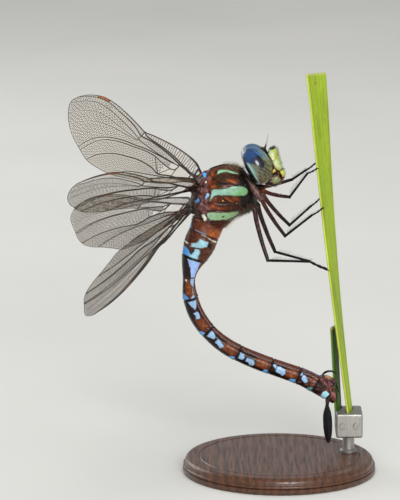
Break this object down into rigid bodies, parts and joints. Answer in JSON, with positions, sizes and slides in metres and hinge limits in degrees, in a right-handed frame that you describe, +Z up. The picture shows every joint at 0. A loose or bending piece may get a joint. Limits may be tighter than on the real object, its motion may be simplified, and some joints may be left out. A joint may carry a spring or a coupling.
{
  "type": "dragonfly",
  "caption": "Life-size still model of a female darner dragonfly laying eggs on a cut green leaf, with spread clear wings and a curled abdomen, on a small round display stand.",
  "frame": {"origin": "middle of the underside of the round stand base", "axes": "+Z up; +X the way the insect faces, towards the leaf it holds; +Y to the insect's left"},
  "size_m": [0.059, 0.0852, 0.075],
  "materials": {
    "brown_cuticle": "semi-gloss chestnut-brown cuticle with blue and mint markings",
    "black_cuticle": "glossy brown-black cuticle",
    "pale_cuticle": "semi-gloss pale green face plates with brown seams",
    "compound_eye": "glossy faceted eye, blue above and grey-green below",
    "wing_membrane": "clear, slightly smoky membrane with dark veins",
    "leaf": "satin green leaf with fine parallel veins",
    "base_wood": "oiled dark wood",
    "stand_metal": "brushed steel"
  },
  "bodies": {
    "root": {"head": "black_cuticle", "face": "pale_cuticle", "labrum": "pale_cuticle", "mouthparts": "pale_cuticle", "eye_left": "compound_eye", "eye_right": "compound_eye", "antenna_left": "black_cuticle", "antenna_right": "black_cuticle", "prothorax": "black_cuticle", "thorax": "brown_cuticle", "abdomen_01": "brown_cuticle", "abdomen_02": "brown_cuticle", "abdomen_03": "brown_cuticle", "abdomen_04": "brown_cuticle", "abdomen_05": "brown_cuticle", "abdomen_06": "brown_cuticle", "abdomen_07": "brown_cuticle", "abdomen_08": "brown_cuticle", "abdomen_09": "brown_cuticle", "abdomen_10": "brown_cuticle", "cercus_left": "black_cuticle", "cercus_right": "black_cuticle", "ovipositor": "black_cuticle", "ovipositor_sheath": "brown_cuticle", "wing_fore_left": "wing_membrane", "wing_fore_right": "wing_membrane", "wing_hind_left": "wing_membrane", "wing_hind_right": "wing_membrane", "leg_fore_left_femur": "brown_cuticle", "leg_fore_left_tibia": "black_cuticle", "leg_fore_left_tarsus": "black_cuticle", "leg_fore_right_femur": "brown_cuticle", "leg_fore_right_tibia": "black_cuticle", "leg_fore_right_tarsus": "black_cuticle", "leg_mid_left_femur": "brown_cuticle", "leg_mid_left_tibia": "black_cuticle", "leg_mid_left_tarsus": "black_cuticle", "leg_mid_right_femur": "brown_cuticle", "leg_mid_right_tibia": "black_cuticle", "leg_mid_right_tarsus": "black_cuticle", "leg_hind_left_femur": "brown_cuticle", "leg_hind_left_tibia": "black_cuticle", "leg_hind_left_tarsus": "black_cuticle", "leg_hind_right_femur": "brown_cuticle", "leg_hind_right_tibia": "black_cuticle", "leg_hind_right_tarsus": "black_cuticle", "perch_blade": "leaf", "perch_leaf": "leaf", "stand_base": "base_wood", "stand_rod": "stand_metal", "stand_clamp": "stand_metal"}
  },
  "joints": []
}
